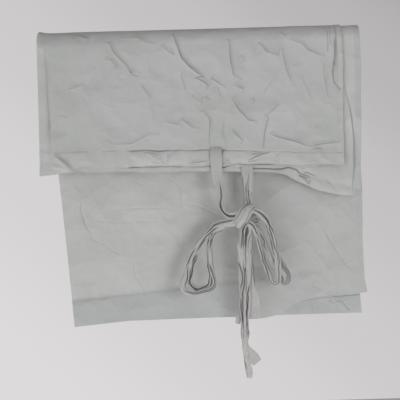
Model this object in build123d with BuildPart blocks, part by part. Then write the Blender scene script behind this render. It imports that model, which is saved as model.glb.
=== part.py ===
from build123d import *
import os
from math import atan2, degrees, hypot

# A tie-up roman blind of thin washed cotton, hanging over a rail as one folded packet.
# The panel is folded once lengthwise, so an outer half and an inner half lie on each other, and the
# packet is then laid over the rail: the rod pocket end with the ties hangs in front, the hem end behind.
# Frame: origin on the rail's axis, X along the rail, the front flap on -Y, Z up. Millimetres.

# --- driving dimensions ---------------------------------------------------------------------------
rail_radius = 21.2        # the tube that the blind hangs over
rail_clearance = 0.1      # between the tube and the inner half
cloth = 0.6               # one layer of cloth
layer_gap = 2.4           # air between the outer and the inner half
fold_x = -252.0           # outside of the lengthwise fold
outer_width = 479.0       # fold to free edge, outer half
inner_width = 507.0       # fold to free edge, inner half
front_drop = 205.0        # rail axis to the header's edge at the fold
front_sag = 46.0          # how much lower the inner half's header hangs at its free edge
sag_start = 123.0         # how far from the inner half's free edge its header starts to sag
outer_back_drop = 441.0   # rail axis to the bottom edge, outer half
inner_back_drop = 407.0   # rail axis to the bottom edge at the free side, inner half
back_fold_drop = 451.0    # rail axis to the bottom edge at the fold
back_skew = 40.0          # how far the back flap's fold runs to the right on its way down
outer_skew = 31.0         # the same at the outer half's free edge
inner_skew = 13.0         # the same at the inner half's free edge
side_hem = 10.0           # width of the double turned side hems
bottom_hem = 42.0         # depth of the double turned bottom hem
header = 7.0              # frill beyond the rod pocket
pocket_depth = 26.0       # rod pocket, stitch line to stitch line
pocket_bulge = 6.0        # how far the empty pocket stands open
seam_turn = 4.0           # turned-in edge of the pocket above its stitch line
tie_width = 18.0          # flat tie
tie_folded = 9.0          # tie gathered along its length
tie_depth = 3.0           # thickness of a gathered tie
tie_air = 2.5             # between the pocket's belly and the foremost tie
tie_lap = 0.5             # air where a flat tie passes over the belly
first_strap = 24.0        # X of the tie that hangs on the left
second_strap = 72.0       # X of the three that hang behind one another
tie_fall = 29.0           # from the header's edge down to where the flat ties start to gather
gather_step = 6.0         # each tie further forward gathers this much higher
edge_air = 1.5            # between a tie and the header's edge that it passes
knot_x = 70.0             # the middle of the knot
knot_fall = 68.0          # and how far it hangs below the header's edge
knot_width = 27.0         # the wrap that holds the bow
knot_height = 25.0
knot_pad = 5.0

# --- worked out -----------------------------------------------------------------------------------
inner_face = rail_radius + rail_clearance
outer_face = inner_face + cloth + layer_gap
hem_stack = 3 * cloth
fold_radius = (outer_face + cloth - inner_face) / 2
fold_middle = inner_face + fold_radius
fold_centre = fold_x + fold_radius
outer_right = fold_x + outer_width
inner_right = fold_x + inner_width
stitch_height = header + pocket_depth     # the pocket's upper stitch line above the header's edge
front_bottom = -front_drop
front_corner = front_bottom - front_sag
sag_x = inner_right - sag_start
seam = front_bottom + stitch_height       # the pocket's seam at the fold, where the ties are sewn in
seam_top = seam + seam_turn
back_corner = fold_centre + back_skew


def plate(outline, near, far):
    """A flat stretch of cloth: its outline in X and Z, between two distances in front of the rail's axis."""
    with BuildSketch(Plane.XZ.offset(near)) as flat:
        with BuildLine():
            Polyline(*outline, close=True)
        make_face()
    extrude(flat.sketch, amount=far - near)


def fold_ring(side):
    """The round lengthwise fold in section, at the height of the rail's axis: side -1 in front, 1 behind."""
    with BuildSketch(Plane.XY, mode=Mode.PRIVATE) as ring:
        with Locations((fold_centre, side * fold_middle)):
            Circle(fold_radius)
            Circle(fold_radius - cloth, mode=Mode.SUBTRACT)
        with Locations((fold_centre + fold_radius, side * fold_middle)):
            Rectangle(2 * fold_radius, 3 * fold_radius, mode=Mode.SUBTRACT)
    return ring.sketch


def rod_pocket(edge, face, side):
    """The pocket's own wall: turned edge, open belly and header, along the header's edge.

    edge lists the edge's points in X and Z, face is the cloth's distance in front of the axis, and side
    says which way the pocket bellies: 1 away from the rail, -1 towards it."""
    left, low = edge[0]
    skin = -face - side * cloth
    belly = -side * pocket_bulge
    upper, lower, middle = low + stitch_height, low + header, low + header + pocket_depth / 2
    with BuildSketch(Plane.YZ.offset(left)) as wall:
        with BuildLine():
            Polyline((skin, upper), (skin, upper + seam_turn), (-face, upper + seam_turn), (-face, upper))
            ThreePointArc((-face, upper), (-face + belly, middle), (-face, lower))
            Polyline((-face, lower), (-face, low), (skin, low), (skin, lower))
            ThreePointArc((skin, lower), (skin + belly, middle), (skin, upper))
        make_face()
    with BuildLine(mode=Mode.PRIVATE) as along:
        Polyline(*[(x, -face, z) for x, z in edge])
    sweep(wall.sketch, path=along.line, transition=Transition.RIGHT)


# --- panel ----------------------------------------------------------------------------------------
with BuildPart() as panel:
    # Over the rail: both halves, their side hems and the round fold, turned half a turn about the axis.
    with BuildSketch(Plane.XY):
        add(fold_ring(-1))
        for right, face in ((inner_right, inner_face), (outer_right, outer_face)):
            with Locations(((fold_centre + right) / 2, -face - cloth / 2)):
                Rectangle(right - fold_centre, cloth)
            with Locations((right - side_hem / 2, -face - hem_stack / 2)):
                Rectangle(side_hem, hem_stack)
    revolve(axis=Axis((0, 0, 0), (-1, 0, 0)), revolution_arc=180)

    # Front flap, outer half: down to the header's edge, with its side hem and rod pocket.
    plate(
        [(fold_centre, 0), (outer_right, 0), (outer_right, front_bottom), (fold_centre, front_bottom)],
        outer_face, outer_face + cloth,
    )
    hem_x = outer_right - side_hem
    plate(
        [(hem_x, 0), (outer_right, 0), (outer_right, seam_top), (hem_x, seam_top)],
        outer_face, outer_face + hem_stack,
    )
    rod_pocket([(fold_centre, front_bottom), (outer_right, front_bottom)], outer_face + cloth, 1)

    # Front flap, inner half: it hangs askew, so its header sags towards its free edge.
    inner_edge = [(fold_centre, front_bottom), (sag_x, front_bottom), (inner_right, front_corner)]
    plate([(fold_centre, 0), (inner_right, 0), *reversed(inner_edge)], inner_face, inner_face + cloth)
    hem_x = inner_right - side_hem
    hem_foot = front_corner + side_hem * front_sag / sag_start
    plate(
        [(hem_x, 0), (inner_right, 0), (inner_right, front_corner), (hem_x, hem_foot)],
        inner_face, inner_face + hem_stack,
    )
    rod_pocket(inner_edge, inner_face, -1)
    with Locations((inner_right, 0, front_corner)):     # the pocket's slanted mouth, trimmed upright
        Box(
            stitch_height, 2 * inner_face, 3 * stitch_height,
            align=(Align.MIN, Align.MAX, Align.CENTER), mode=Mode.SUBTRACT,
        )

    # Back flap: both halves run a little to the right on their way down, and end in the bottom hem.
    bottom = -back_fold_drop
    for right, face, skew, drop in (
        (inner_right, inner_face, inner_skew, inner_back_drop),
        (outer_right, outer_face, outer_skew, outer_back_drop),
    ):
        corner = (right + skew, -drop)
        plate([(fold_centre, 0), (right, 0), corner, (back_corner, bottom)], -face, -face - cloth)
        plate(
            [(right - side_hem, 0), (right, 0), corner, (corner[0] - side_hem, corner[1])],
            -face, -face - hem_stack,
        )
        hem_corner = (corner[0] - bottom_hem * skew / drop, corner[1] + bottom_hem)
        fold_corner = (back_corner - bottom_hem * back_skew / back_fold_drop, bottom + bottom_hem)
        plate([(back_corner, bottom), corner, hem_corner, fold_corner], -face, -face - hem_stack)

    # The lengthwise fold down each flap.
    extrude(fold_ring(-1), amount=front_drop, dir=(0, 0, -1))
    extrude(fold_ring(1), amount=hypot(back_skew, back_fold_drop), dir=(back_skew, 0, -back_fold_drop))
panel.part.label = "panel"


# --- ties -----------------------------------------------------------------------------------------
# Each tie is sewn on at the pocket's seam, hangs flat at first, is gathered along its length, goes through
# the knot, makes a loop of the bow, comes back to the knot and ends in a tail. The outer half has a tie on
# its front and one on its rear, and so has the inner half: the bow holds all four, one behind another.
knot = (knot_x, front_bottom - knot_fall)
outer_skin = outer_face + 2 * cloth                  # the outer pocket's own wall, in front of the axis
inner_skin = inner_face - cloth                      # the inner pocket's own wall
foremost = outer_skin + pocket_bulge + tie_air


def layer(place):
    """How far in front of the axis a gathered tie starts, counted from the foremost one."""
    return foremost - place * tie_depth


def flat_drop(x, side_view):
    """The flat top of a tie about x: its rear face seen from the side, in Y and Z."""
    with BuildSketch(Plane.YZ.offset(x - tie_width / 2)) as profile:
        with BuildLine():
            Polyline(*side_view, *[(y - cloth, z) for y, z in reversed(side_view)], close=True)
        make_face()
    extrude(profile.sketch, amount=tie_width)


def gathered_run(points, near):
    """A stretch of gathered tie, seen from the front, at a distance in front of the rail's axis."""
    with BuildSketch(Plane.XZ.offset(near)) as run:
        for (x0, z0), (x1, z1) in zip(points, points[1:]):
            with Locations(Location(((x0 + x1) / 2, (z0 + z1) / 2), degrees(atan2(z1 - z0, x1 - x0)))):
                SlotCenterToCenter(hypot(x1 - x0, z1 - z0), tie_folded)
    extrude(run.sketch, amount=tie_depth)


def wrap(near, far):
    """The pad that a tie makes where it wraps the knot."""
    with BuildSketch(Plane.XZ.offset(near)) as pad:
        with Locations(knot):
            RectangleRounded(knot_width, knot_height, knot_height / 3)
    extrude(pad.sketch, amount=far - near)


def run_length(points):
    """The length of a bent run, measured along its straight stretches."""
    return sum(hypot(b[0] - a[0], b[1] - a[1]) for a, b in zip(points, points[1:]))


def belly_drop(skin, side):
    """The side view of a tie that hangs over a pocket's belly: side 1 in front of it, -1 behind it."""
    rear = 0 if side == 1 else cloth
    off = -skin - side * (pocket_bulge + tie_lap) + rear
    return [(-skin + rear, seam_top), (-skin + rear, seam + tie_lap), (off, seam - pocket_depth / 4)]


def rise(place):
    """Where a flat tie begins to gather: the further forward it lies, the higher."""
    return gather_z + gather_step * (len(tie_routes) - place)


gather_z = front_bottom - tie_fall - 2 * gather_step    # where every tie has gathered
under_edge = front_bottom - edge_air                    # just below the header's edge
outer_rear = -outer_face + cloth      # the face that a tie on the outer half's rear turns to the rail
inner_front = -inner_face - cloth     # the inner half's own front
behind_belly = -inner_skin + pocket_bulge + tie_lap + cloth

# name, x at the seam, side view of the flat top down to the header's edge, then the runs and the opened
# end as seen from the front, counted from the middle of the knot
tie_routes = {
    "outer_front_tie": (
        first_strap,
        belly_drop(outer_skin, 1),
        [(-47, 37), (-47, 21), (-32, 6), (0, 0)],
        [(-4, 3), (20, 1), (34, -29), (45, -67), (57, -97), (51, -118), (37, -107), (23, -72), (16, -35), (2, -6)],
        [(-4, -2), (-12, -27), (-16, -77), (-14, -127), (-16, -177), (-12, -217), (-4, -257)],
        [(-10, -232), (1, -232), (3, -251), (-2, -258), (-7, -254)],
    ),
    "outer_rear_tie": (
        second_strap,
        [(outer_rear, seam_top), (outer_rear, under_edge)],
        [(2, 37), (1, 17), (0, 0)],
        [(2, -3), (-20, -4), (-48, -13), (-78, -43), (-96, -77), (-105, -107), (-90, -122), (-64, -118),
         (-55, -99), (-59, -69), (-51, -31), (-28, -11), (0, -4)],
        [(0, -3), (-1, -47), (1, -119), (-3, -167), (-4, -211)],
        [(-8, -207), (2, -207), (10, -215), (17, -230), (8, -238), (-2, -237)],
    ),
    "inner_front_tie": (
        second_strap,
        [(inner_front, seam_top), (inner_front, under_edge)],
        [(2, 37), (4, 17), (0, 0)],
        [(-2, 1), (18, -5), (28, -32), (38, -67), (46, -97), (40, -112), (28, -92), (18, -57), (12, -27), (1, -6)],
        [(1, -3), (1, -57), (6, -102), (12, -137)],
        [(2, -122), (20, -125), (21, -142), (14, -164), (-3, -164), (2, -145)],
    ),
    "inner_rear_tie": (
        second_strap,
        [*belly_drop(inner_skin, -1), (behind_belly, under_edge)],
        [(2, 33), (0, 17), (0, 0)],
        [(-2, -5), (-25, -9), (-48, -21), (-70, -49), (-87, -79), (-96, -103), (-84, -115), (-68, -109),
         (-63, -91), (-65, -65), (-56, -35), (-30, -15), (-2, -7)],
        [(-2, -4), (-8, -37), (-11, -89), (-12, -137), (-17, -169)],
        [(-24, -169), (-13, -153), (-12, -180)],
    ),
}

ties = []
for place, (name, (x, fall, *outlines)) in enumerate(tie_routes.items()):
    side_view = [*fall, (-layer(place), rise(place)), (-layer(place), gather_z)]
    *runs, end = [[(knot[0] + dx, knot[1] + dz) for dx, dz in outline] for outline in outlines]
    with BuildPart() as tie:
        flat_drop(x, side_view)
        for run in runs:
            gathered_run(run, layer(place))
        plate(end, layer(place), layer(place) + tie_depth)
        if place == 0:
            wrap(layer(place) + tie_depth, layer(place) + tie_depth + knot_pad)
        if place == len(tie_routes) - 1:
            wrap(layer(place), layer(place) - knot_pad)
    tie.part.label = name
    ties.append(tie)
    print(f"{name}: {sum(run_length(path) for path in (side_view, *runs)):.0f} mm long")

# --- files ----------------------------------------------------------------------------------------
os.makedirs("parts", exist_ok=True)
for piece in (panel, *ties):
    export_step(piece.part, f"parts/{piece.part.label}.step")
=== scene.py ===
import math

import bpy
import numpy as np
from mathutils import Matrix


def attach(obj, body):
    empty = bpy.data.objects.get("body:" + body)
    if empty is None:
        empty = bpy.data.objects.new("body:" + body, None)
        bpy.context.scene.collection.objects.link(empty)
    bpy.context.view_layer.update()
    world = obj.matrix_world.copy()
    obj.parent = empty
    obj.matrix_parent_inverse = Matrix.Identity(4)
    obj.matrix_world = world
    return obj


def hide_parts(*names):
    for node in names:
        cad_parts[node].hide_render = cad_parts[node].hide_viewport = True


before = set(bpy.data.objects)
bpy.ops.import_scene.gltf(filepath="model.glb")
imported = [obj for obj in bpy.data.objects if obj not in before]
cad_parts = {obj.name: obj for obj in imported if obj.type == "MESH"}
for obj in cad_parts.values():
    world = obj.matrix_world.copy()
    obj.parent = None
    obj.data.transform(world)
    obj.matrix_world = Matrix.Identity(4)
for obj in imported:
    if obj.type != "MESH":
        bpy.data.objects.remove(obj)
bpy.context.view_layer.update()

# --- camera, light and floor ----------------------------------------------------------------------
# The blind is seen straight from the front, from 1.25 m away, with the camera rolled a little, so that the
# folded top rises to the right. Soft lamps stand left, right, below, beside and behind it, one shines on
# the floor, and the surround fades from pale at the lower left to grey at the upper right.
scene = bpy.context.scene
scene.view_settings.view_transform = "Standard"
scene.view_settings.look = "None"

roll = math.radians(1.66)
camera_data = bpy.data.cameras.new("camera")
camera_data.lens = 70.3
camera_data.clip_start = 0.05
camera = bpy.data.objects.new("camera", camera_data)
scene.collection.objects.link(camera)
camera.matrix_world = Matrix((
    (math.cos(roll), math.sin(roll), 0, -0.00244),
    (0, 0, -1, -1.25),
    (-math.sin(roll), math.cos(roll), 0, -0.24995),
    (0, 0, 0, 1),
))
scene.camera = camera

world = bpy.data.worlds.new("studio")
scene.world = world
world.use_nodes = True
sky, sky_links = world.node_tree.nodes, world.node_tree.links
direction = sky.new("ShaderNodeTexCoord")
split = sky.new("ShaderNodeSeparateXYZ")
sky_links.new(direction.outputs["Generated"], split.inputs["Vector"])
fade = sky.new("ShaderNodeValToRGB")
fade.color_ramp.interpolation = "EASE"
tilt = sky.new("ShaderNodeMath")
tilt.operation = "MULTIPLY_ADD"
tilt.inputs[1].default_value = 0.9
sky_links.new(split.outputs["X"], tilt.inputs[0])
sky_links.new(split.outputs["Z"], tilt.inputs[2])
shift = sky.new("ShaderNodeMath")
shift.operation = "MULTIPLY_ADD"
shift.inputs[1].default_value, shift.inputs[2].default_value = 0.5, 0.5
sky_links.new(tilt.outputs["Value"], shift.inputs[0])
sky_links.new(shift.outputs["Value"], fade.inputs["Fac"])
fade.color_ramp.elements[0].position, fade.color_ramp.elements[0].color = 0.0, (0.8, 0.78, 0.78, 1)
fade.color_ramp.elements[1].position, fade.color_ramp.elements[1].color = 1.0, (0.2, 0.2, 0.2, 1)
for height, grey in ((0.3, 0.72), (0.42, 0.66), (0.5, 0.61), (0.6, 0.55), (0.68, 0.48), (0.8, 0.34)):
    fade.color_ramp.elements.new(height).color = (grey, grey * 0.975, grey * 0.975, 1)
sky_links.new(fade.outputs["Color"], sky["Background"].inputs["Color"])


def lamp(name, place, aim, width, watts):
    """A soft square lamp that shines from a place towards a point."""
    data = bpy.data.lights.new(name, "AREA")
    data.size = width
    data.energy = watts
    light = bpy.data.objects.new(name, data)
    scene.collection.objects.link(light)
    light.location = place
    away = light.location - type(light.location)(aim)
    light.rotation_euler = away.to_track_quat("Z", "Y").to_euler()


middle = (0, 0, -0.25)
lamp("lamp_left", (-1.1, -1.6, -0.5), middle, 0.9, 6.0)
lamp("lamp_right", (0.66, -1.6, -0.3), middle, 0.5, 9.0)
lamp("lamp_below", (-0.1, -1.2, -1.1), middle, 0.8, 5)
lamp("lamp_rear", (0.8, 1.8, 0.0), middle, 0.8, 20)
lamp("lamp_side", (1.9, 0.3, -0.1), middle, 0.8, 15)
lamp("lamp_over_floor", (0, 0.6, -0.8), (0, 0.6, -1.75), 3.0, 40)

bpy.ops.object.select_all(action="DESELECT")
bpy.ops.mesh.primitive_plane_add(size=9, location=(0, 0, -1.75))
floor = bpy.context.object
floor.name = "floor"
floor_paint = bpy.data.materials.new("floor_paint")
floor_paint.use_nodes = True
floor_paint.node_tree.nodes["Principled BSDF"].inputs["Base Color"].default_value = (0.85, 0.83, 0.83, 1)
floor_paint.node_tree.nodes["Principled BSDF"].inputs["Roughness"].default_value = 0.9
floor.data.materials.append(floor_paint)

# --- panel ----------------------------------------------------------------------------------------
# One sheet of thin washed cotton with double turned hems, about a metre wide. It is folded once
# lengthwise, and the packet is laid over a 42.4 mm rail: the tied end hangs in front, the hem behind.
# All lengths in this section are millimetres, and the mesh is made in metres.
millimetre = 0.001
fold_centre = -250.2              # X of the middle of the lengthwise fold
fold_middle = 23.1                # its distance from the rail's axis
fold_round = 1.5                  # half the distance between the two halves
outer_reach, inner_reach = 477.2, 505.2          # fold to free edge
outer_back, inner_back = 441.0, 407.0            # how far the halves hang down behind
side_hem, bottom_hem = 10.0, 42.0
half_cloth, hem_extra = 0.25, 0.4
fold_slant = 40.0 / 451.0         # how far the fold leans to the right behind, for each mm down
inner_slide, outer_slide = 13.0, 31.0            # how far the free edges lie to the right at the hem
rail_margin = 25.0                # the inner half's side hem lies flush over the rail and this far on
half_turn = math.pi / 2 * fold_round
rail_arc = math.pi * fold_middle                 # cloth that lies over the rail


def value_noise(x, z, cell, seed):
    """Smooth random hills, about a cell apart, between -1 and 1."""
    hills = np.random.default_rng(seed).uniform(-1, 1, (64, 64))
    gx, gz = x / cell + 17.3, z / cell + 41.7
    ix, iz = np.floor(gx).astype(int), np.floor(gz).astype(int)
    fx, fz = gx - ix, gz - iz
    fx, fz = fx * fx * (3 - 2 * fx), fz * fz * (3 - 2 * fz)
    ix, iz, jx, jz = ix % 64, iz % 64, (ix + 1) % 64, (iz + 1) % 64
    low = hills[ix, iz] * (1 - fx) + hills[jx, iz] * fx
    high = hills[ix, jz] * (1 - fx) + hills[jx, jz] * fx
    return low * (1 - fz) + high * fz


def crumple(x, z, cell, seed):
    """Washed-in creases: sharp low ridges round flat facets, about a cell across."""
    bend_x = x + cell * 0.5 * value_noise(x, z, cell * 1.3, seed + 50)
    bend_z = z + cell * 0.5 * value_noise(x, z, cell * 1.3, seed + 51)
    return 1 - 2 * np.abs(value_noise(bend_x, bend_z, cell, seed))


def crease_distance(x, z, points):
    """Signed distance to a line, positive on its left, and a crease's strength there, 0 at both ends."""
    lengths = [math.hypot(b[0] - a[0], b[1] - a[1]) for a, b in zip(points, points[1:])]
    near, left, along, run = np.full(x.shape, 1e9), np.zeros(x.shape), np.zeros(x.shape), 0.0
    for (x0, z0), (x1, z1), length in zip(points, points[1:], lengths):
        dx, dz = (x1 - x0) / length, (z1 - z0) / length
        t = np.clip((x - x0) * dx + (z - z0) * dz, 0, length)
        far = np.hypot(x - x0 - t * dx, z - z0 - t * dz)
        closer = far < near
        near = np.where(closer, far, near)
        left = np.where(closer, dx * (z - z0) - dz * (x - x0), left)
        along = np.where(closer, (run + t) / sum(lengths), along)
        run += length
    return np.where(left > 0, near, -near), np.sin(math.pi * np.clip(along, 0.0, 1.0)) ** 0.5


def pressed_fold(x, z, points, rise, soft=9.0, sharp=2.2):
    """A crease along a line: it swells on the line's left and drops steeply on its right."""
    away, strength = crease_distance(x, z, points)
    return rise * strength * np.where(away > 0, np.exp(-np.abs(away) / soft), np.exp(-np.abs(away) / sharp))


def nearest_crease(x, z, creases):
    """For each point the strongest crease close by: signed distance in mm, and how high it stands there."""
    distance, height, best = np.full(x.shape, 30.0), np.zeros(x.shape), np.zeros(x.shape)
    for points, rise, *_ in creases:
        away, strength = crease_distance(x, z, points)
        pull = abs(rise) * strength * np.exp(-np.abs(away) / 6)
        taken = pull > best
        best = np.where(taken, pull, best)
        distance = np.where(taken, away, distance)
        height = np.where(taken, rise * strength * np.clip((7 - np.abs(away)) / 2.5, 0, 1), height)
    return distance, height


# Only half of a crease's height is in the shape of the cloth. The rest is in its surface.
crease_gain = 0.5
# Creases of the outer half in front: a line in X and Z, how high it stands, and how wide its soft side is.
front_creases = [
    ([(-240, 10), (-238, -30), (-236, -90), (-234, -172)], -1.1, 4),
    ([(219, 22), (216, -20), (212, -56), (214, -71), (225, -85)], -2.4, 4),
    ([(205, 22), (206, -5), (203, -28)], -1.0, 5),
    ([(-141, 4), (-130, -16), (-115, -32), (-105, -43), (-94, -53)], 1.9, 14),
    ([(-118, -30), (-105, -47), (-92, -54)], -1.4, 5),
    ([(-91, -66), (-81, -80), (-75, -92)], 1.2, 10),
    ([(-39, 14), (-31, -8), (-24, -27), (-12, -41), (3, -53), (12, -60)], 2.8, 12),
    ([(-7, -58), (10, -66), (17, -74)], 1.8, 9),
    ([(-57, -7), (-34, -25)], 1.3, 8),
    ([(-27, -50), (-21, -72), (-20, -84)], 1.2, 8),
    ([(-146, -27), (-134, -28), (-126, -44)], 1.1, 7),
    ([(-204, -72), (-179, -65)], 0.9, 8),
    ([(-224, -112), (-202, -117)], 0.9, 8),
    ([(-192, 17), (-167, 5)], 1.6, 7),
    ([(-122, 6), (-92, 7), (-77, -2), (-63, -5)], 1.0, 9),
    ([(-150, -153), (-135, -160), (-106, -159), (-94, -153), (-81, -146), (-62, -146)], 1.1, 9),
    ([(-57, -126), (-30, -133)], 1.0, 8),
    ([(-30, -121), (-13, -135), (0, -139)], 1.3, 8),
    ([(4, -108), (17, -125), (14, -168)], 1.5, 9),
    ([(50, 4), (52, -32), (56, -57), (70, -64)], 2.0, 12),
    ([(54, -71), (73, -79)], 1.3, 6),
    ([(69, -24), (72, -37)], 0.9, 6),
    ([(51, -90), (61, -109), (78, -128), (92, -130)], 2.0, 10),
    ([(98, -181), (101, -151), (108, -123), (100, -121)], 1.8, 9),
    ([(104, -122), (127, -104)], 1.4, 9),
    ([(49, -141), (69, -161)], 1.6, 6),
    ([(109, -149), (124, -156), (151, -163), (174, -173)], 1.8, 8),
    ([(171, -169), (189, -182), (198, -192)], 1.5, 7),
    ([(170, -172), (194, -168), (223, -166)], 1.6, 10),
    ([(96, -5), (109, -21), (130, -28)], 1.5, 9),
    ([(131, -15), (138, -47), (148, -76)], 1.4, 14),
    ([(146, -3), (164, -9), (177, -22), (200, -31)], 1.6, 9),
    ([(196, -42), (200, -79), (203, -99)], 1.2, 9),
    ([(128, 11), (141, 0)], 1.1, 6),
    ([(10, -87), (15, -95)], 1.0, 5),
    ([(86, -93), (87, -103)], 1.0, 5),
    ([(29, -72), (34, -92)], 1.0, 7),
    ([(43, -75), (19, -59)], 1.2, 7),
    ([(39, -121), (35, -148), (41, -166)], 1.0, 8),
    ([(-12, -86), (6, -100)], 0.8, 9),
    ([(120, -62), (100, -90)], 0.7, 16),
    ([(160, -60), (176, -98)], 0.8, 16),
    ([(-160, -90), (-130, -104)], 0.6, 14),
]
# The seam above the inner half's frill: X, and its Z there.
corner_seam = (
    [-252, -208, -80, 7, 85, 110, 123, 140, 152, 158, 169, 183, 222, 256],
    [-198, -193, -197, -199, -202, -203, -203, -202.5, -208, -214.5, -215, -220, -231, -243],
)
# Creases of the inner half in front, as lines and heights: where its free corner slips down, and the
# seam above its frill.
corner_creases = [
    ([(229, -76), (239, -119), (244, -159), (245, -202), (241, -251)], -2.2),
    ([(60, -201), (85, -202), (110, -203.5), (123, -204.5), (140, -202), (152, -206), (158, -213),
      (176, -218)], -3.2),
    ([(150, -214), (163, -221), (172, -232)], 2.0),
    ([(156, -208), (169, -211), (186, -218)], -1.6),
    ([(196, -224), (206, -233), (218, -247)], 0.9),
    ([(110, -204), (118, -212)], 1.6),
]
# Creases of the back flap, seen from the front under the header.
back_creases = [
    ([(-196, -246), (-198, -261), (-192, -279), (-183, -298), (-178, -310)], 2.0, 12),
    ([(-178, -308), (-140, -332), (-130, -338)], 1.5, 14),
    ([(-132, -337), (-113, -352), (-112, -370), (-98, -392), (-92, -410)], 1.4, 10),
    ([(-189, -262), (-176, -274)], 1.2, 8),
    ([(-190, -277), (-156, -280), (-138, -282), (-64, -281)], 1.1, 9),
    ([(-152, -262), (-110, -260), (-61, -261), (-33, -264)], 0.9, 9),
    ([(-68, -203), (-39, -223), (-33, -233), (-34, -264)], 1.3, 10),
    ([(-31, -254), (-4, -260), (28, -276)], 1.3, 8),
    ([(-118, -212), (-85, -226)], 0.8, 9),
    ([(186, -280), (208, -323), (219, -341), (226, -353), (250, -381)], 1.6, 14),
    ([(219, -272), (235, -292)], 0.8, 7),
    ([(175, -392), (196, -403)], 1.0, 8),
    ([(26, -376), (26, -432)], 0.8, 12),
    ([(218, -414), (239, -437)], 1.8, 8),
    ([(207, -415), (212, -424)], 1.2, 6),
    ([(177, -420), (177, -437)], 1.0, 8),
    ([(150, -418), (150, -438)], 0.6, 10),
]
# The line pressed into the outer half's back flap by the lower edge of the inner half.
overlap_creases = back_creases + [
    ([(300, -407), (268, -409.5), (225, -412.5), (185, -415), (163, -419)], 1.9),
]


def front_relief(x, z, half):
    """How far the front flap stands out of its plane, towards the room."""
    relief = 0.75 * crumple(x, z, 52, 3) + 0.4 * crumple(x, z, 24, 8) + 1.3 * value_noise(x, z, 120, 5)
    for points, rise, soft in front_creases:
        relief = relief + pressed_fold(x, z, points, rise * crease_gain, 0.75 * soft, 2.4)
    tuck = np.interp(z, [-205, -174, -23, 20], [-231, -234, -239, -241])     # crease beside the fold
    deep = np.interp(z, [-190, -160, -60, 0], [1.6, 1.8, 1.2, 0.4])
    relief = relief - deep * np.exp(-np.abs(x - tuck) / 1.6) + 1.2 * np.exp(-((x - tuck + 8) / 6) ** 2)
    pinch = np.interp(z, [-110, -83, -71, -56, 20], [226, 225, 214, 212, 219])   # narrow crease by the edge
    closed = np.clip((z + 92) / 20, 0, 1)
    relief = relief - 1.2 * closed * np.exp(-np.abs(x - pinch) / 1.8)
    relief = relief + 1.2 * closed * np.exp(-((x - pinch - 7) / 6) ** 2)
    if half == "inner":
        beside_edge = np.interp(z, [-206, -100, -37, 20], [226, 227.5, 229, 230])
        relief = relief - 2.4 * np.exp(-np.abs(x - beside_edge) / 2.0)
        slip = np.interp(z, [-251, -230, -159, -119, -84, 20], [241, 244, 244, 239, 229, 229])
        relief = relief - 1.6 * np.exp(-np.abs(x - slip) / 2.2) * np.clip((-60 - z) / 20, 0, 1)
        seam = np.interp(x, *corner_seam)
        hanging = np.clip((x - 60) / 30, 0, 1)
        relief = relief - 1.2 * hanging * np.exp(-np.abs(z - seam) / 1.6)
        frill = np.clip((seam - z) / 10, 0, 1) * hanging
        relief = relief + frill * (1.5 + 2.4 * value_noise(x, z * 0.4, 11, 71))
    return relief


def back_relief(x, z):
    """How far the back flap stands out of its plane, towards the room."""
    relief = 0.75 * crumple(x, z, 60, 13) + 0.33 * crumple(x, z, 26, 18) + 1.5 * value_noise(x, z, 150, 15)
    for points, rise, soft in back_creases:
        relief = relief + pressed_fold(x, z, points, rise * crease_gain, soft, 3.5)
    return relief


def header_edge(across, half):
    """Z of the front flap's lower edge, at a distance from the fold. It waves a little after washing."""
    return straight_header_edge(across, half) + 1.3 * value_noise(across, across * 0, 21, 83)


def straight_header_edge(across, half):
    """Z of the front flap's lower edge without its small waves."""
    x = fold_centre + across
    if half == "outer":
        return np.interp(
            x, [-252, -197, -84, 7, 40, 62, 126, 160, 227],
            [-205, -201, -203, -206, -204, -199, -200, -203, -204],
        )
    return np.interp(
        x, [-252, -208, -80, 7, 85, 118, 137, 154, 185, 205, 238, 256],
        [-205, -200, -204, -206, -208.5, -209.5, -214, -225, -238.5, -245.5, -250, -251],
    )


def bottom_edge(across, half):
    """Z of the back flap's lower edge, at a distance from the fold."""
    if half == "outer":
        return np.interp(across, [0, 88, 259, 316, 478], [-451, -442, -440.5, -441, -441])
    return np.interp(
        across, [0, 93, 273, 300, 325, 354, 375, 396, 418, 440, 505],
        [-450.5, -443, -441.5, -446, -445, -439, -427, -417, -413, -411, -407.5],
    )


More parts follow.
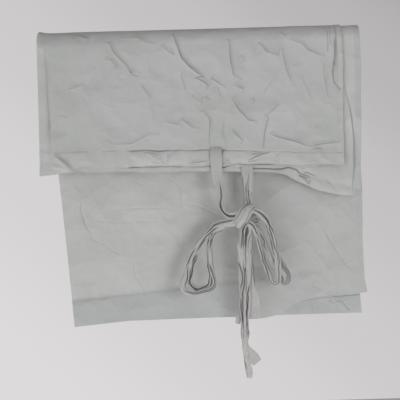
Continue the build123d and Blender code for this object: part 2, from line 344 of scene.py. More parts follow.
def lay_over_rail(across, height, standing_off):
    """A point of the hung packet. across is the distance from the fold's outside along the cloth, height
    runs from minus the front edge's depth through 0 to rail_arc over the rail and on down the back, and
    standing_off is how far it lies out of the cloth, towards the side that the hems are turned to."""
    angle = np.clip(across, -half_turn, half_turn) / fold_round
    flat = np.maximum(np.abs(across) - half_turn, 0)
    x = fold_centre - fold_round * np.cos(angle) * (flat == 0) + flat
    out = fold_middle - fold_round * np.sin(angle)
    towards_x, towards_out = -np.cos(angle) * (flat == 0), -np.sin(angle)
    front, back = height < 0, height > rail_arc
    drop = np.where(back, height - rail_arc, 0.0)
    level = np.where(front, height, -drop)
    over = np.where(front | back, 0.0, height)

    inner = across > 0
    reach = np.where(inner, inner_reach, outer_reach)
    long_back = np.where(inner, inner_back, outer_back)
    free = np.where(inner, inner_slide, outer_slide) / long_back
    slope = fold_slant + (free - fold_slant) * flat / reach
    bowed = 2.5 * np.sin(math.pi * np.clip(drop / 451, 0, 1)) * (1 - flat / reach) ** 4
    skewed = x + slope * drop + bowed
    near_edge = np.clip(flat / reach, 0, 1) ** 8
    outer_wobble = np.interp(level, [-204, -162, -100, -37, 0], [-2.2, -1.8, -0.8, 1, 0])
    inner_wobble = np.interp(level, [-251, -210, -132, -37, 0], [-2, -2, 0, 2, 1])
    back_wobble = np.interp(drop, [0, 235, 323, 388, 407], [0, 1.5, -3, -3.6, 0])
    wobble = np.where(inner, inner_wobble, outer_wobble) + np.where(inner, back_wobble, 0)
    x_now = skewed + wobble * near_edge

    unrolled = np.where(front, level, over)
    relief_front = np.where(inner, front_relief(x, unrolled, "inner"), front_relief(x, unrolled, "outer"))
    relief_back = -back_relief(x_now, level)
    turned = np.clip(over / rail_arc, 0, 1)
    blend = turned * turned * (3 - 2 * turned)
    relief = np.where(back, relief_back, relief_front * (1 - blend))
    pressed = 1.9 * np.sin(np.clip(over / rail_arc, 0, 1) * math.pi) ** 0.7 * np.clip(flat / 14, 0, 1)
    relief = np.where(front | back, relief, np.maximum(relief, 0) * 0.6 - np.where(inner, 0, pressed))
    settle = np.clip(drop / 30, 0, 1)
    relief = np.where(back, relief * settle, relief)

    leaning = 13 * np.clip((-130 - level) / 120, 0, 1) * np.clip((flat - 345) / 110, 0, 1)
    relief = relief - np.where(inner & front, leaning, 0)
    distance = out + relief + towards_out * standing_off
    turn = over / rail_arc * math.pi
    y = np.where(back, distance, np.where(front, -distance, -distance * np.cos(turn)))
    z = np.where(front | back, level, distance * np.sin(turn))
    return np.stack([x_now + towards_x * standing_off, y, z], axis=-1)


def closed_piece(name, mesh, smooth_below):
    """An object of a closed mesh, faces turned outward, smooth where they meet at less than an angle."""
    piece = bpy.data.objects.new(name, mesh)
    scene.collection.objects.link(piece)
    bpy.ops.object.select_all(action="DESELECT")
    piece.select_set(True)
    bpy.context.view_layer.objects.active = piece
    bpy.ops.object.mode_set(mode="EDIT")
    bpy.ops.mesh.select_all(action="SELECT")
    bpy.ops.mesh.normals_make_consistent(inside=False)
    bpy.ops.object.mode_set(mode="OBJECT")
    bpy.ops.object.shade_smooth_by_angle(angle=math.radians(smooth_below))
    return piece


def cloth_sheet(name, face, rear, uv, tint, crease=None):
    """A closed sheet between two grids of points, given in millimetres, with a map in metres of cloth."""
    rows, columns = face.shape[:2]
    points = np.concatenate([face.reshape(-1, 3), rear.reshape(-1, 3)]) * millimetre
    number = np.arange(rows * columns).reshape(rows, columns)
    corners = [number[:-1, :-1], number[1:, :-1], number[1:, 1:], number[:-1, 1:]]
    quads = np.stack(corners, axis=-1).reshape(-1, 4)
    border = np.concatenate([number[0, :-1], number[:-1, -1], number[-1, :0:-1], number[:0:-1, 0]])
    following = np.roll(border, -1)
    offset = rows * columns
    rim = np.stack([border, following, following + offset, border + offset], axis=-1)
    faces = np.concatenate([quads, quads[:, ::-1] + offset, rim])
    mesh = bpy.data.meshes.new(name)
    mesh.from_pydata(points.tolist(), [], faces.tolist())
    mesh.validate()
    flat_map = np.concatenate([uv.reshape(-1, 2)] * 2)
    loops = np.zeros(len(mesh.loops), int)
    mesh.loops.foreach_get("vertex_index", loops)
    mesh.uv_layers.new(name="cloth").data.foreach_set("uv", flat_map[loops].ravel().astype(np.float32))
    # Painted shade: one number at each point, by which the material darkens the cloth's colour.
    shade = mesh.attributes.new("painted_shade", "FLOAT", "POINT")
    shade.data.foreach_set("value", np.concatenate([tint.ravel()] * 2).astype(np.float32))
    if crease is not None:
        for label, values in zip(("crease_away", "crease_height"), crease):
            on_points = mesh.attributes.new(label, "FLOAT", "POINT")
            on_points.data.foreach_set("value", np.concatenate([values.ravel()] * 2).astype(np.float32))
    return closed_piece(name, mesh, 50)


def new_paint(name):
    """A material, with its nodes, its links, its shader and its place node."""
    paint = bpy.data.materials.new(name)
    paint.use_nodes = True
    nodes, links = paint.node_tree.nodes, paint.node_tree.links
    return paint, nodes, links, nodes["Principled BSDF"], nodes.new("ShaderNodeTexCoord")


def texture(nodes, links, kind, laid_by, **settings):
    """A texture node laid out by another node's output, with some of its inputs set."""
    made = nodes.new("ShaderNodeTex" + kind)
    links.new(laid_by, made.inputs["Vector"])
    for label, value in settings.items():
        made.inputs[label].default_value = value
    return made


def cotton(name, colour, painted_shade_colour, crease_strength, facet_strength):
    """Washed cotton: plain weave, slubs and fine creases in the surface, a slightly uneven grey, and
    painted shade where the mesh asks for it.
    """
    paint, nodes, links, shader, place = new_paint(name)
    shader.inputs["Roughness"].default_value = 0.92
    shader.inputs["Specular IOR Level"].default_value = 0.18
    shader.inputs["Sheen Weight"].default_value = 0.12
    shader.inputs["Sheen Roughness"].default_value = 0.6

    def bump(height, strength, distance, under=None):
        """A bump node, on top of another one if one is given."""
        made = nodes.new("ShaderNodeBump")
        made.inputs["Strength"].default_value = strength
        made.inputs["Distance"].default_value = distance
        links.new(height, made.inputs["Height"])
        if under is not None:
            links.new(under.outputs["Normal"], made.inputs["Normal"])
        return made

    def attribute(label):
        """A number carried by the points of the mesh."""
        made = nodes.new("ShaderNodeAttribute")
        made.attribute_name = label
        return made.outputs["Fac"]

    patches = texture(nodes, links, "Noise", place.outputs["Object"], Scale=7, Detail=5)
    shades = nodes.new("ShaderNodeValToRGB")
    shades.color_ramp.elements[0].position = 0.3
    shades.color_ramp.elements[0].color = (colour[0] * 0.95, colour[1] * 0.97, colour[2] * 0.95, 1)
    shades.color_ramp.elements[1].position = 0.7
    shades.color_ramp.elements[1].color = (colour[0] * 1.03, colour[1] * 1.03, colour[2] * 1.03, 1)
    links.new(patches.outputs["Fac"], shades.inputs["Fac"])

    # Painted shade: the colour is multiplied towards the darker grey as far as each point's number asks,
    # also past full strength.
    painted_shade_mix = nodes.new("ShaderNodeMix")
    painted_shade_mix.data_type = "RGBA"
    painted_shade_mix.blend_type = "MULTIPLY"
    painted_shade_mix.clamp_factor = False
    links.new(attribute("painted_shade"), painted_shade_mix.inputs["Factor"])
    links.new(shades.outputs["Color"], painted_shade_mix.inputs["A"])
    painted_shade_mix.inputs["B"].default_value = (*painted_shade_colour, 1)
    links.new(painted_shade_mix.outputs["Result"], shader.inputs["Base Color"])

    def calculate(operation, *inputs):
        """One step of a sum: each input is a number or another node's output."""
        step_node = nodes.new("ShaderNodeMath")
        step_node.operation = operation
        for socket, value in zip(step_node.inputs, inputs):
            if isinstance(value, (int, float)):
                socket.default_value = value
            else:
                links.new(value, socket)
        return step_node.outputs["Value"]

    wander = texture(nodes, links, "Noise", place.outputs["Object"], Scale=14, Detail=3)
    bent = nodes.new("ShaderNodeVectorMath")
    bent.operation = "MULTIPLY_ADD"
    bent.inputs[1].default_value = (0.045, 0.045, 0.045)
    links.new(wander.outputs["Color"], bent.inputs[0])
    links.new(place.outputs["Object"], bent.inputs[2])
    facets = 0.0
    for scale, weight in ((15, 1.0), (34, 0.42)):
        cells = texture(nodes, links, "Voronoi", bent.outputs["Vector"], Scale=scale)
        facets = calculate("MULTIPLY_ADD", cells.outputs["Distance"], weight, facets)
    surface = bump(facets, facet_strength, 0.012)

    # A pressed crease falls away within 0.8 mm on its right and 2.3 mm on its left.
    away = attribute("crease_away")
    width = calculate("MULTIPLY_ADD", calculate("GREATER_THAN", away, 0.0), 1.5, 0.8)
    fall = calculate("DIVIDE", calculate("ABSOLUTE", away), width)
    shape = calculate("EXPONENT", calculate("MULTIPLY", fall, -1.0))
    line = calculate("MULTIPLY", shape, attribute("crease_height"))
    surface = bump(line, 1.0, 0.0012, surface)

    creases = texture(
        nodes, links, "Noise", place.outputs["Object"], Scale=42, Detail=6, Roughness=0.55, Distortion=0.9
    )
    surface = bump(creases.outputs["Fac"], crease_strength, 0.0015, surface)
    for direction, threads in (("X", 560), ("Y", 520)):
        weave = texture(nodes, links, "Wave", place.outputs["UV"], Scale=threads, Distortion=0.8, Detail=1)
        weave.bands_direction = direction
        surface = bump(weave.outputs["Fac"], 0.22, 0.00012, surface)
    links.new(surface.outputs["Normal"], shader.inputs["Normal"])
    return paint


# Its second colour is the grey that painted shade darkens the cloth towards.
washed_cotton = cotton("washed_cotton", (0.425, 0.428, 0.42), (0.925, 0.932, 0.945), 0.45, 0.42)

# Across the cloth: outer free edge, fold, inner free edge, with a step at each side hem.
step = 0.35


def hem_steps(reach, width, spacing):
    """Distances from the fold along one half, with a close pair where the side hem begins."""
    plain = np.linspace(0, reach - width - step, int((reach - width) / spacing))
    return np.concatenate([plain[1:], [reach - width + step, reach - width / 2, reach]])


outer_columns = half_turn + hem_steps(outer_reach, side_hem, 2.9)
inner_columns = half_turn + hem_steps(inner_reach, side_hem, 5.2)
across = np.concatenate([-outer_columns[::-1], np.linspace(-half_turn, half_turn, 7), inner_columns])
reach_here = np.where(across > 0, inner_reach, outer_reach)


def by_half(edge, across):
    """An edge's Z for points on both halves."""
    return np.where(across > 0, edge(np.abs(across), "inner"), edge(np.abs(across), "outer"))


front_edge, back_edge = by_half(header_edge, across), by_half(bottom_edge, across)

front_share = np.linspace(1, 0, 74)
over_share = np.linspace(0, 1, 13)[1:]
back_share = np.linspace(0, 1, 78)[1:]
hem_share = np.array([step, 6, 12, 18, 24, 30, 36, bottom_hem]) / bottom_hem
hem_top = np.where(
    across > 0, np.interp(np.abs(across), [0, inner_reach], [-408.5, -365.5]),
    np.interp(np.abs(across), [0, outer_reach], [-409, -399]),
)
heights = np.concatenate([
    front_share[:-1, None] * front_edge[None, :],
    np.zeros((1, len(across))),
    over_share[:, None] * rail_arc * np.ones((1, len(across))),
    rail_arc - back_share[:, None] * (hem_top[None, :] + step),
    rail_arc - hem_top[None, :] + hem_share[:, None] * (hem_top - back_edge)[None, :],
])
spread = np.broadcast_to(across, heights.shape)
in_side_hem = np.abs(spread) > reach_here + half_turn - side_hem
in_bottom_hem = heights > rail_arc - hem_top[None, :] + step / 2
from_fold = np.maximum(np.abs(spread) - half_turn, 0) + fold_centre
pressed_flat = np.interp(from_fold, [40, 110], [1.0, 0.25])
hem_here = np.where(in_side_hem, 1.0, np.where(in_bottom_hem, pressed_flat, 0.0))
# Painted shade along the hems, where the cloth lies double and less light comes through: strongest on the
# inner half's bottom hem at the left and its side hem in front, fading along the bottom hem to the right.
bottom_shade = np.interp(from_fold, [-60, 30, 90], [1.8, 0.9, 0.1])
bottom_shade = np.where(spread < 0, 1.0, bottom_shade)
side_shade = np.where((spread > 0) & (heights < rail_arc), 1.2, 0.2)
painted_shade_map = np.where(in_bottom_hem, bottom_shade, np.where(in_side_hem, side_shade, 0.0))
# Painted shade over the outer half's front flap, lighter on the narrow strip beside the fold.
front_shade = np.interp(from_fold, [-241, -237], [0.2, 1.0])
painted_shade_map = np.where((spread < 0) & (heights < rail_arc / 2), painted_shade_map + front_shade, painted_shade_map)
# Painted shade on the inner half's lower right corner in front, which leans forward into the light.
corner_shade = np.interp(heights, [-230, -200, -160], [1.0, 0.8, 0.0])
corner_shade = corner_shade * np.interp(from_fold, [90, 150], [0.0, 1.0])
painted_shade_map = np.where(spread > 0, painted_shade_map + 0.9 * corner_shade, painted_shade_map)
# Painted shade over the back flaps, growing towards the right, where the inner half's edge shades the outer
# half.
back_shade = np.interp(from_fold, [-100, 150], [0.3, 0.8])
painted_shade_map = np.where(heights > rail_arc, painted_shade_map + back_shade, painted_shade_map)
front_lines = nearest_crease(from_fold, np.minimum(heights, rail_arc), front_creases)
hung_x = lay_over_rail(spread, heights, 0)[..., 0]
inner_lines = nearest_crease(hung_x, rail_arc - heights, back_creases)
outer_lines = nearest_crease(hung_x, rail_arc - heights, overlap_creases)
back_lines = np.where(spread < 0, outer_lines, inner_lines)
behind = heights > rail_arc
corner_lines = nearest_crease(from_fold, np.minimum(heights, 0), corner_creases)
in_front = np.where(spread < 0, front_lines, corner_lines)
crease_away = np.where(behind, -back_lines[0], in_front[0])
crease_height = np.where(behind, -0.6 * back_lines[1], in_front[1])
on_rail = (heights > -rail_margin) & (heights < rail_arc + rail_margin) & (spread > 0)
lift = np.where(on_rail & in_side_hem, -hem_extra, 0.0)
face_points = lay_over_rail(spread, heights, half_cloth + hem_extra * hem_here + lift)
rear_points = lay_over_rail(spread, heights, -half_cloth + lift)
cloth_map = np.stack([spread, heights], axis=-1) * millimetre
panel = cloth_sheet(
    "panel_cloth", face_points, rear_points, cloth_map, painted_shade_map, (crease_away, crease_height)
)
panel.data.materials.append(washed_cotton)
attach(panel, "root")
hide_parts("panel")

# --- rod pocket -----------------------------------------------------------------------------------
# The end of the same cloth, turned to the hem side and sewn down with two rows of stitches, so that a rod
# fits between them. It hangs empty and slack, and its header is left as a small frill below the stitches.
lip = 4.4                         # cloth above the upper seam
upper_row, lower_row = 4.8, 32.0  # the seams, measured down the pocket's cloth
between, below = 27.0, 6.5        # cloth between the seams, and below the lower one
pocket_rows = np.concatenate([
    np.linspace(0, lip, 4), np.linspace(upper_row + 0.4, lower_row - 0.8, 15),
    np.linspace(lower_row + 0.4, lower_row + below, 6),
])
pocket_columns = np.concatenate([
    -half_turn - np.linspace(outer_reach, 0, 215), np.linspace(-half_turn, half_turn, 7)[1:-1],
    half_turn + np.linspace(0, inner_reach, 150),
])
p_across, p_down = np.meshgrid(pocket_columns, pocket_rows)
p_edge = by_half(header_edge, p_across)
p_x = fold_centre + np.abs(p_across)
upper_seam = np.interp(p_x, [-252, -84, 8, 34, 125, 156, 227], [-169, -170, -171, -173, -177.5, -179, -182])
upper_seam = np.where(p_across > 0, np.interp(p_x, *corner_seam) + 26, upper_seam)
upper_seam = upper_seam + 1.3 * value_noise(p_x, p_x * 0, 26, 81) + 0.7 * value_noise(p_x, p_x * 0, 9, 84)
lower_seam = np.where(
    p_across > 0, np.interp(p_x, *corner_seam),
    np.interp(p_x, [-252, -84, 7, 40, 62, 227], [-195, -194.5, -197.5, -198, -196.5, -201]),
)
lower_seam = lower_seam + 1.8 * value_noise(p_x, p_x * 0, 22, 82) + 0.8 * value_noise(p_x, p_x * 0, 8, 85)
lower_seam = np.maximum(lower_seam, p_edge + 3)
level = np.where(
    p_down < upper_row, upper_seam + lip - p_down,
    np.where(
        p_down < lower_row, upper_seam + (p_down - upper_row) / between * (lower_seam - upper_seam),
        lower_seam + (p_down - lower_row) / below * (p_edge - lower_seam),
    ),
)
inside = np.clip((p_down - upper_row) / between, 0, 1)
slack = 1.6 + 2.6 * (0.5 + 0.5 * value_noise(p_x, level, 60, 31))
slack = slack * np.clip(np.abs(p_across) / 45, 0.12, 1)
gathered_front = np.interp(p_x, [-252, -118, -90, 60, 110], [0.15, 0.25, 1, 1, 0.25])
gathered_rear = np.interp(p_x, [-252, -130, -70, 150, 190], [0.2, 0.28, 0.7, 0.7, 0.28])
slack = slack * np.where(p_across > 0, gathered_rear, gathered_front)
belly = slack * np.sin(math.pi * inside) ** 0.8
pucker = 0.5 * np.sin(p_x / 2.9 + 3 * value_noise(p_x, level, 30, 33))
pucker = pucker * np.exp(-((inside - 0.5) / 0.45) ** 6)
pucker = 0.35 * pucker * np.where((inside > 0) & (inside < 1), 1, 0)
below_seam = np.maximum(p_down - lower_row, 0)
ruffle = below_seam / below * (0.9 + 1.4 * value_noise(p_x, p_x * 0, 16, 35))
flared = np.interp(p_x, [-118, -100, 110, 125], [0, 1, 1, 0])
flared = flared * (0.7 + 0.6 * value_noise(p_x, p_x * 0, 11, 45))
ruffle = ruffle + np.where(p_across < 0, 1.5, 0.6) * np.clip(flared, 0, 1.2) * (1 - np.exp(-below_seam))
gathers = 1.5 * value_noise(p_x + 0.3 * level, level * 0, 13, 41) * np.sin(math.pi * inside) ** 2
belly = belly + gathers * np.clip(np.abs(p_across) / 60, 0, 1)
lying = half_cloth * np.interp(p_x, [-252, -110, -80], [1.4, 1.4, 2.2])
pocket_off = lying + belly + pucker + np.clip(ruffle, 0, 4) + 0.5 * crumple(p_x, level, 19, 37)
pocket_off = np.maximum(pocket_off, lying)
pocket_off = np.where((inside <= 0) | ((inside >= 1) & (p_down < lower_row + 0.5)), lying, pocket_off)
dog_ear = (
    pressed_fold(p_x, level, [(-199, -200), (-210, -187), (-226, -173)], 6.5, 9, 2.6)
    + pressed_fold(p_x, level, [(-232, -190), (-207, -197)], 3.0, 5, 2.0)
    - pressed_fold(p_x, level, [(-216, -164), (-199, -181), (-189, -198)], 2.6, 5, 4.0)
)
pocket_off = pocket_off + np.where(p_across < 0, np.maximum(dog_ear, -0.4), 0)
pocket_face = lay_over_rail(p_across, level, pocket_off + half_cloth)
pocket_rear = lay_over_rail(p_across, level, pocket_off - half_cloth)
pocket_map = np.stack([p_across, -p_down], axis=-1) * millimetre
to_upper, to_lower = level - upper_seam, level - lower_seam
nearer_upper = np.abs(to_upper) < np.abs(to_lower)
seam_away = np.where(nearer_upper, to_upper, to_lower)
pulled_front = np.where(
    nearer_upper, np.interp(p_x, [-118, -104, 40, 96, 110], [0, 1, 1, 0.5, 0]),
    np.interp(p_x, [-118, -104, 110, 125], [0, 1, 1, 0]),
)
pulled = np.where(p_across < 0, pulled_front, np.interp(p_x, [-80, 30, 90, 160, 185], [0, 1, 0.8, 1, 0.1]))
seam_dip = -2.1 * pulled * np.clip(0.6 + 0.9 * value_noise(p_x, p_x * 0, 14, 43), 0.15, 1.3)
seam_dip = np.where(np.abs(seam_away) < 6, seam_dip, 0) * np.where(p_across < 0, 1, 0.5)
# Short creases across the slack pocket: a line in X and Z, and how high each stands.
pocket_creases = [
    ([(-92, -172), (-78, -175.5), (-57, -188.5)], 0.9),
    ([(-48.6, -177), (-49, -192)], 1.4),
    ([(-17, -191.5), (-1, -191), (14, -189.5)], 2.2),
    ([(35, -182), (41, -171.5)], 2.0),
    ([(43, -188), (50, -196)], 1.5),
    ([(77, -190.5), (88, -185), (98, -180.5), (113, -178)], -2.6),
    ([(119, -182), (126, -193)], 1.0),
]
pucker_away, pucker_height = nearest_crease(p_x, level, pocket_creases)
closer = (np.abs(pucker_away) < np.abs(seam_away)) & (p_across < 0)
pocket_crease = (np.where(closer, pucker_away, seam_away), np.where(closer, pucker_height, seam_dip))
# The pocket's cloth carries painted shade all over, which darkens it evenly.
pocket = cloth_sheet(
    "rod_pocket", pocket_face, pocket_rear, pocket_map, 0.9 * np.ones(level.shape), pocket_crease
)
pocket.data.materials.append(washed_cotton)
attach(pocket, "root")

# --- stitching ------------------------------------------------------------------------------------
# Straight lockstitch in grey thread: two rows along the rod pocket, and one along the inner edge of each
# hem. Every stitch is a short bent length of thread that dips into the cloth at both ends.
thread_paint, thread_nodes, thread_links, thread_shader, thread_place = new_paint("sewing_thread")
thread_shader.inputs["Roughness"].default_value = 0.7
plies = texture(thread_nodes, thread_links, "Wave", thread_place.outputs["Object"], Scale=900)
plies.bands_direction = "DIAGONAL"
thread_shades = thread_nodes.new("ShaderNodeValToRGB")
thread_shades.color_ramp.elements[0].color = (0.31, 0.31, 0.3, 1)
thread_shades.color_ramp.elements[1].color = (0.38, 0.38, 0.37, 1)
thread_links.new(plies.outputs["Fac"], thread_shades.inputs["Fac"])
thread_links.new(thread_shades.outputs["Color"], thread_shader.inputs["Base Color"])

stitch_pitch, stitch_half, thread_radius = 3.0, 1.1, 0.16
stitch_run = np.array([-1.0, -0.6, 0.0, 0.6, 1.0]) * stitch_half
stitch_rise = np.array([-0.1, 0.14, 0.18, 0.14, -0.1])
round_thread = np.arange(5) * 2 * math.pi / 5


def stitch_row(across_at, height_at, cloth_face, along_height=False):
    """Points of a row of stitches: one ring of points at each of five places along every stitch."""
    rings = np.ones((len(across_at), 5, 5))
    beside = thread_radius * np.cos(round_thread)[None, None, :] * rings
    run = stitch_run[None, :, None] * rings
    above = thread_radius * np.sin(round_thread)[None, None, :] + stitch_rise[None, :, None]
    above = above + cloth_face[:, None, None]
    ahead, aside = (beside, run) if along_height else (run, beside)
    return lay_over_rail(across_at[:, None, None] + ahead, height_at[:, None, None] + aside, above * rings)


seam_across = np.arange(pocket_columns[0] + 2, pocket_columns[-1] - 2, stitch_pitch)
seam_across = seam_across[np.abs(seam_across) > 6]
pocket_face_at = half_cloth + np.interp(seam_across, pocket_columns, lying[0])
upper_at, lower_at = (np.interp(seam_across, pocket_columns, seam[0]) for seam in (upper_seam, lower_seam))
hem_height = rail_arc - np.interp(seam_across, across, hem_top) + 1.5
hem_rise = hem_extra * np.interp(np.abs(seam_across) - half_turn + fold_centre, [40, 110], [1.0, 0.25])
rows_of_stitches = [
    stitch_row(seam_across, upper_at + 0.6, pocket_face_at),
    stitch_row(seam_across, lower_at, pocket_face_at),
    stitch_row(seam_across, hem_height, half_cloth + hem_rise),
]
side_hems = ((-1, outer_reach, -165, outer_back), (1, inner_reach, -212, inner_back))
for side, reach, pocket_top, back in side_hems:
    up_the_edge = np.arange(pocket_top, rail_arc + back - 2, stitch_pitch)
    edge_across = side * (half_turn + reach - side_hem + 1.2) * np.ones(len(up_the_edge))
    sunk = (side > 0) & (up_the_edge > -rail_margin) & (up_the_edge < rail_arc + rail_margin)
    edge_face = half_cloth + hem_extra - np.where(sunk, hem_extra, 0)
    rows_of_stitches.append(stitch_row(edge_across, up_the_edge, edge_face, along_height=True))
stitch_points = np.concatenate(rows_of_stitches)
count = len(stitch_points)
ring = np.arange(25).reshape(5, 5)
beside = np.roll(ring, -1, 1)
sides = np.stack([ring[:-1], beside[:-1], beside[1:], ring[1:]], axis=-1).reshape(-1, 4)
walls = (sides[None] + 25 * np.arange(count)[:, None, None]).reshape(-1, 4).tolist()
caps = np.array([ring[0, ::-1], ring[-1]])
ends = (caps[None] + 25 * np.arange(count)[:, None, None]).reshape(-1, 5).tolist()
thread_mesh = bpy.data.meshes.new("stitches")
thread_mesh.from_pydata((stitch_points.reshape(-1, 3) * millimetre).tolist(), [], walls + ends)
stitches = closed_piece("stitches", thread_mesh, 60)
stitches.data.materials.append(thread_paint)
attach(stitches, "root")

# --- ties -----------------------------------------------------------------------------------------
# Four straight strips of the same cotton, sewn in at the pocket's seam. They hang flat at first, then
# crumple lengthwise into soft cords, and are tied in one double bow: two loops a side, and four tails.
# The ties' colour is multiplied towards a much darker grey: painted shade in their grooves and on the
# twisted parts of their curls.
tie_cotton = cotton("tie_cotton", (0.37, 0.365, 0.365), (0.36, 0.36, 0.37), 0.6, 0.0)


def smooth_path(stations, spacing):
    """Points spaced along a smooth curve through the stations, with every value carried along."""
    stations = np.array(stations, float)
    gaps = np.linalg.norm(np.diff(stations[:, :3], axis=0), axis=1)
    at = np.concatenate([[0], np.cumsum(np.sqrt(gaps * 8))])
    slopes = np.gradient(stations, at, axis=0)
    result = []
    for k in range(len(at) - 1):
        span = at[k + 1] - at[k]
        count = max(2, int(gaps[k] / spacing))
        for t in np.arange(count) / count:
            h00, h10 = 2 * t**3 - 3 * t**2 + 1, t**3 - 2 * t**2 + t
            h01, h11 = -2 * t**3 + 3 * t**2, t**3 - t**2
            here, there = h00 * stations[k] + h10 * span * slopes[k], h01 * stations[k + 1]
            result.append(here + there + h11 * span * slopes[k + 1])
    result.append(stations[-1])
    return np.array(result)


def crumpled_strip(name, stations, seed, core=None):
    """A strip along its stations: X, Y, Z, width, how much it is gathered, from 0 flat to 1 rolled up, and
    sometimes how far it is twisted. It faces the room, or outwards from a core that it is wound round."""
    path = smooth_path([tuple(station) + (0,) * (6 - len(station)) for station in stations], 1.4)
    spine, width, gather = path[:, :3], path[:, 3:4], np.clip(path[:, 4:5], 0, 1)
    twist = np.radians(path[:, 5:6])
    tangent = np.gradient(spine, axis=0)
    tangent /= np.linalg.norm(tangent, axis=1)[:, None]
    run = np.concatenate([[0], np.cumsum(np.linalg.norm(np.diff(spine, axis=0), axis=1))])
    ahead = np.array([0, -1.0, 0]) if core is None else spine - np.array(core)
    sideways = np.cross(tangent, ahead)
    sideways /= np.linalg.norm(sideways, axis=1)[:, None]
    out = np.cross(sideways, tangent)
    sideways, out = (
        np.cos(twist) * sideways + np.sin(twist) * out, np.cos(twist) * out - np.sin(twist) * sideways
    )
    s = np.linspace(-1, 1, 39)[None, :]
    r = run[:, None]
    depth = 2.8 * gather * np.sqrt(1 - 0.96 * s * s)
    # Painted shade: how deep in a groove each point lies, which darkens its colour there.
    groove_shade = 0 * depth
    for line, (rest, drift, reach) in enumerate(((-0.35, 0.6, 4.4), (0.3, 0.6, 4.0), (0.75, 0.25, 1.8))):
        groove = rest + drift * value_noise(r, r * 0 + 9 * line, 27, seed + line)
        groove = groove + 0.16 * value_noise(r, r * 0 + 9 * line, 7, seed + 30 + line)
        deep = np.clip(0.56 + 1.7 * value_noise(r, r * 0 + 9 * line, 30, seed + 10 + line), 0, 1)
        beside = (s - groove) * width / 2
        depth = depth - gather * reach * deep * np.exp(-((beside / 1.15) ** 2))
        groove_shade = np.maximum(groove_shade, gather * deep * reach / 4.4 * np.exp(-((beside / 0.9) ** 2)))
        depth = depth + gather * 0.8 * deep * np.exp(-(((beside - 1.9) / 1.2) ** 2))
    flutter = value_noise(r, s * 7, 9, seed + 22) * 0.7 + value_noise(r, s * 7, 4, seed + 23) * 0.35
    depth = depth + flutter * (0.35 + 0.65 * gather)
    crinkle = value_noise(r, s * 0 + seed, 13, seed + 24) + 0.5 * value_noise(r, s * 0, 5, seed + 25)
    crinkle = crinkle * gather
    uneven = 1 + 0.22 * gather * value_noise(r, s * 0 + 5, 12, seed + 26)
    lateral = s * width / 2 * uneven + crinkle
    middle_line = spine[:, None, :] + sideways[:, None, :] * lateral[..., None]
    middle_line = middle_line + out[:, None, :] * depth[..., None]
    along_row = np.gradient(middle_line, axis=0)
    along_column = np.gradient(middle_line, axis=1)
    normal = np.cross(along_column, along_row)
    normal /= np.maximum(np.linalg.norm(normal, axis=2), 1e-9)[..., None]
    normal *= np.sign((normal * out[:, None, :]).sum(axis=2))[..., None]
    uv = np.stack(np.broadcast_arrays(s * 9, r), axis=-1) * millimetre
    # Painted shade where the strip is twisted, more the further it turns.
    twist_shade = np.abs(np.sin(twist)) * 0.75
    face, rear = middle_line + half_cloth * normal, middle_line - half_cloth * normal
    strip = cloth_sheet(name, face, rear, uv, np.maximum(groove_shade, twist_shade))
    strip.data.materials.append(tie_cotton)
    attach(strip, "root")
    return strip


def tie(name, node, stations, seed):
    """One of the four ties, in place of its CAD node."""
    strip = crumpled_strip(name, stations, seed)
    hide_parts(node)
    return strip


outer_front = tie("outer_front_ribbon", "outer_front_tie", [
    (24.6, -27, -168, 18, 0), (24.5, -31, -174, 18, 0), (24.4, -33.2, -183, 18, 0),
    (24.6, -33, -196, 17.5, 0), (24.8, -32.5, -208, 17, 0), (25.6, -32.5, -217, 14.5, 0.25),
    (28.6, -33, -229, 8.5, 0.9), (29, -34, -246, 7.5, 1), (30.5, -35, -261, 7.5, 1),
    (35.5, -36, -271, 8, 1), (44, -37, -275.5, 9, 1), (55, -37, -274, 11, 0.9),
    (68, -37.5, -270, 11, 0.9), (80, -37.5, -268.5, 10, 1), (89, -38, -272, 10, 1),
    (97, -38, -281, 10, 1), (103.5, -38.5, -294, 9.5, 1), (108, -38.5, -309, 9, 1),
    (111.5, -38.5, -323, 9, 1), (114.5, -38, -338, 9, 0.9), (116, -37, -355, 9.5, 0.7),
    (116.5, -36, -370, 9.5, 0.7), (114, -34, -381, 9, 0.9), (109, -32.5, -382, 8, 1),
    (104, -32.5, -373, 8, 1), (98.5, -33, -359, 8, 1), (93.5, -34, -344, 8, 1), (89.5, -34.5, -328, 8, 1),
    (86.5, -35, -313, 8, 1), (82, -36, -299, 8, 1), (75, -37, -289, 8, 1), (67.5, -37.5, -289, 9, 1),
    (62.5, -37.5, -297, 9.5, 1), (60.3, -37, -309, 10, 1), (59.6, -36.5, -330, 10, 1),
    (59.4, -36, -352, 9.5, 1), (59.4, -36, -374, 9.5, 1), (59.4, -36, -396, 9, 1),
    (59.3, -36, -418, 9, 1), (59.3, -36, -441, 9, 1), (60.2, -36, -463, 8.5, 1),
    (61.4, -35.5, -481, 7.5, 1), (62.6, -35, -495, 7.5, 1), (64.3, -34.5, -506, 9, 0.7),
    (66.2, -34, -517, 11, 0.2), (66.8, -33.5, -529, 9, 0),
], 101)

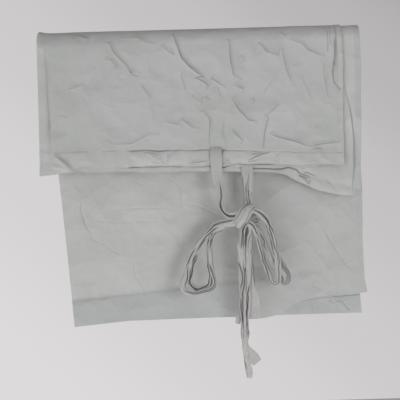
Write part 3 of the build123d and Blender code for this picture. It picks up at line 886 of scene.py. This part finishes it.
tie("outer_rear_ribbon", "outer_rear_tie", [
    (72.5, -24, -190, 18, 0), (72.5, -27, -200, 18, 0.05), (73, -29, -212, 16.5, 0.2),
    (73.5, -30, -228, 13, 0.55), (73, -31, -246, 9.8, 1), (72, -32, -261, 9.5, 1), (68, -34, -274, 10, 1),
    (59, -35, -282, 11, 1), (47, -35, -286, 11, 1), (32, -35, -287, 10, 1), (18.6, -34.5, -293, 9.5, 1),
    (5, -34, -303.5, 9.5, 1), (-7.8, -34, -319, 10, 1), (-18, -34, -336, 10.5, 1),
    (-24.5, -34, -354, 10.5, 1), (-28, -34.5, -369, 11, 0.9), (-32, -35, -381, 11, 0.6),
    (-30.5, -35, -390, 10, 0.4), (-20, -34.5, -394.5, 8.5, 0.7), (-8, -34, -394.5, 7.5, 0.9),
    (4, -33.5, -391, 7.5, 0.9), (13, -33.5, -387, 8, 0.8), (16.6, -33, -379, 7.5, 1),
    (14.5, -33, -366, 7, 1), (11.5, -33, -350, 7, 1), (11, -33, -333, 7, 1), (12.4, -33, -315, 7, 1),
    (17, -33, -301, 7.5, 1), (30, -33.5, -292, 8.5, 1), (50, -34.5, -287, 10, 1),
    (66, -34.5, -285, 10, 1), (73, -34, -294, 9, 1), (71.5, -34, -310, 9, 1), (69.8, -34, -328, 9, 1),
    (69.8, -34, -346, 9, 1), (69.5, -34, -366, 9, 1), (68, -34, -388, 9, 1), (66.6, -34, -410, 9, 1),
    (65.3, -34, -432, 8.5, 1), (64.4, -34, -454, 8, 1), (63.6, -34.5, -471, 7.5, 1),
    (64, -35.5, -481, 9, 0.7), (68, -36.5, -489, 14, 0.2), (74, -37, -497.5, 18, 0),
    (79.5, -37, -505, 15.5, 0),
], 202)

tie("inner_front_ribbon", "inner_front_tie", [
    (73, -20.5, -188, 18, 0), (73, -23, -202, 17, 0.2), (74, -26, -216, 13, 0.6), (75, -28, -232, 10, 1),
    (75, -29.5, -250, 9, 1), (74, -31, -266, 9, 1), (80, -32, -271, 9, 1), (90, -32, -275, 8, 1),
    (98, -32, -286, 8, 1), (104.5, -32, -300, 8, 1), (109, -32, -316, 8, 1), (114, -32, -334, 8, 1),
    (121, -32.5, -350, 8, 1, 20), (126.5, -33.5, -361, 10, 1, 50), (131, -34, -371, 12, 1, 60),
    (130, -34, -380, 12, 1, 60), (124.5, -33, -382, 10, 1, 50), (120.5, -31, -374, 8, 1, 30),
    (114, -29, -360, 8, 1), (104, -29, -340, 8, 1), (95, -29.5, -316, 8, 1), (84, -31, -296, 8, 1),
    (76, -31.5, -290, 8, 1), (75, -30.5, -304, 8, 1), (74, -30, -330, 8, 1), (74, -30, -355, 8, 1),
    (75.5, -30.5, -374, 8, 1), (77.5, -31, -392, 9, 0.7), (79.5, -31, -408, 12, 0.4),
    (79, -30.5, -422, 15, 0.2), (77, -30, -436, 16, 0.1),
], 303)

tie("inner_rear_ribbon", "inner_rear_tie", [
    (71.5, -17, -190, 17, 0), (71.5, -19, -206, 16, 0.2), (70.5, -22, -220, 12, 0.6),
    (69.5, -25, -238, 9, 1), (69, -27.5, -256, 8.5, 1), (66, -29.5, -272, 9, 1), (52, -30, -282, 9, 1),
    (34, -29.5, -289, 9, 1), (20, -29, -296, 8.5, 1), (7, -29, -309, 8.5, 1), (-5, -29, -325, 8.5, 1),
    (-14, -29, -343, 8.5, 1), (-20, -29, -362, 8.5, 1), (-22, -29.5, -378, 8.5, 1),
    (-14, -29.5, -389, 7.5, 1), (-2, -29, -389.5, 7, 1), (8, -28.5, -383, 7, 1),
    (11, -28.5, -370, 6.5, 1), (9, -28.5, -352, 6.5, 1), (8.5, -28.5, -334, 6.5, 1),
    (11, -28.5, -315, 7, 1), (24, -29, -297, 8, 1), (46, -30, -288, 8, 1), (60, -30, -288, 8, 1),
    (65, -30, -300, 8, 1), (64.5, -29.5, -325, 8, 1), (63.5, -29.5, -352, 8, 1), (62, -29.5, -395, 8, 1),
    (59, -29, -425, 9, 0.8), (54, -29, -437, 12, 0.3), (49, -29, -444.5, 6, 0.1),
], 404)

# --- knot -----------------------------------------------------------------------------------------
# Where the ties cross, one of them is wound round the others twice and holds the bow. Its end curls open.
knot = crumpled_strip("knot", [
    (80, -31, -262, 8, 0.8), (79, -39, -263, 10, 0.7), (74, -42.5, -267, 13, 0.4),
    (67.5, -44, -276, 14, 0.4), (61, -43, -286, 12, 0.6), (56.5, -36, -293, 9, 0.8),
    (58, -27, -290, 8, 0.8), (66, -24, -276, 8, 0.8), (72, -29, -263, 8, 0.8), (70, -37, -261.5, 10, 0.7),
    (63.5, -41.5, -266, 12, 0.5), (57, -42, -275, 12, 0.5), (51, -39.5, -284, 10, 0.7),
    (48, -32, -289, 8, 0.8), (53, -26, -284, 8, 0.8),
], 505, core=(65, -33.5, -277))
curl_x, curl_z = 83, -283.5
curl = []
for turn, radius in zip(range(-60, 500, 40), np.linspace(7, 1.8, 14)):
    aside, up = radius * math.sin(math.radians(turn)), radius * math.cos(math.radians(turn))
    curl.append((curl_x + aside, -38 + 0.022 * (turn + 60), curl_z + up, 9, 0.3))
knot_curl = crumpled_strip("knot_curl", curl, 606, core=(curl_x, -34, curl_z))
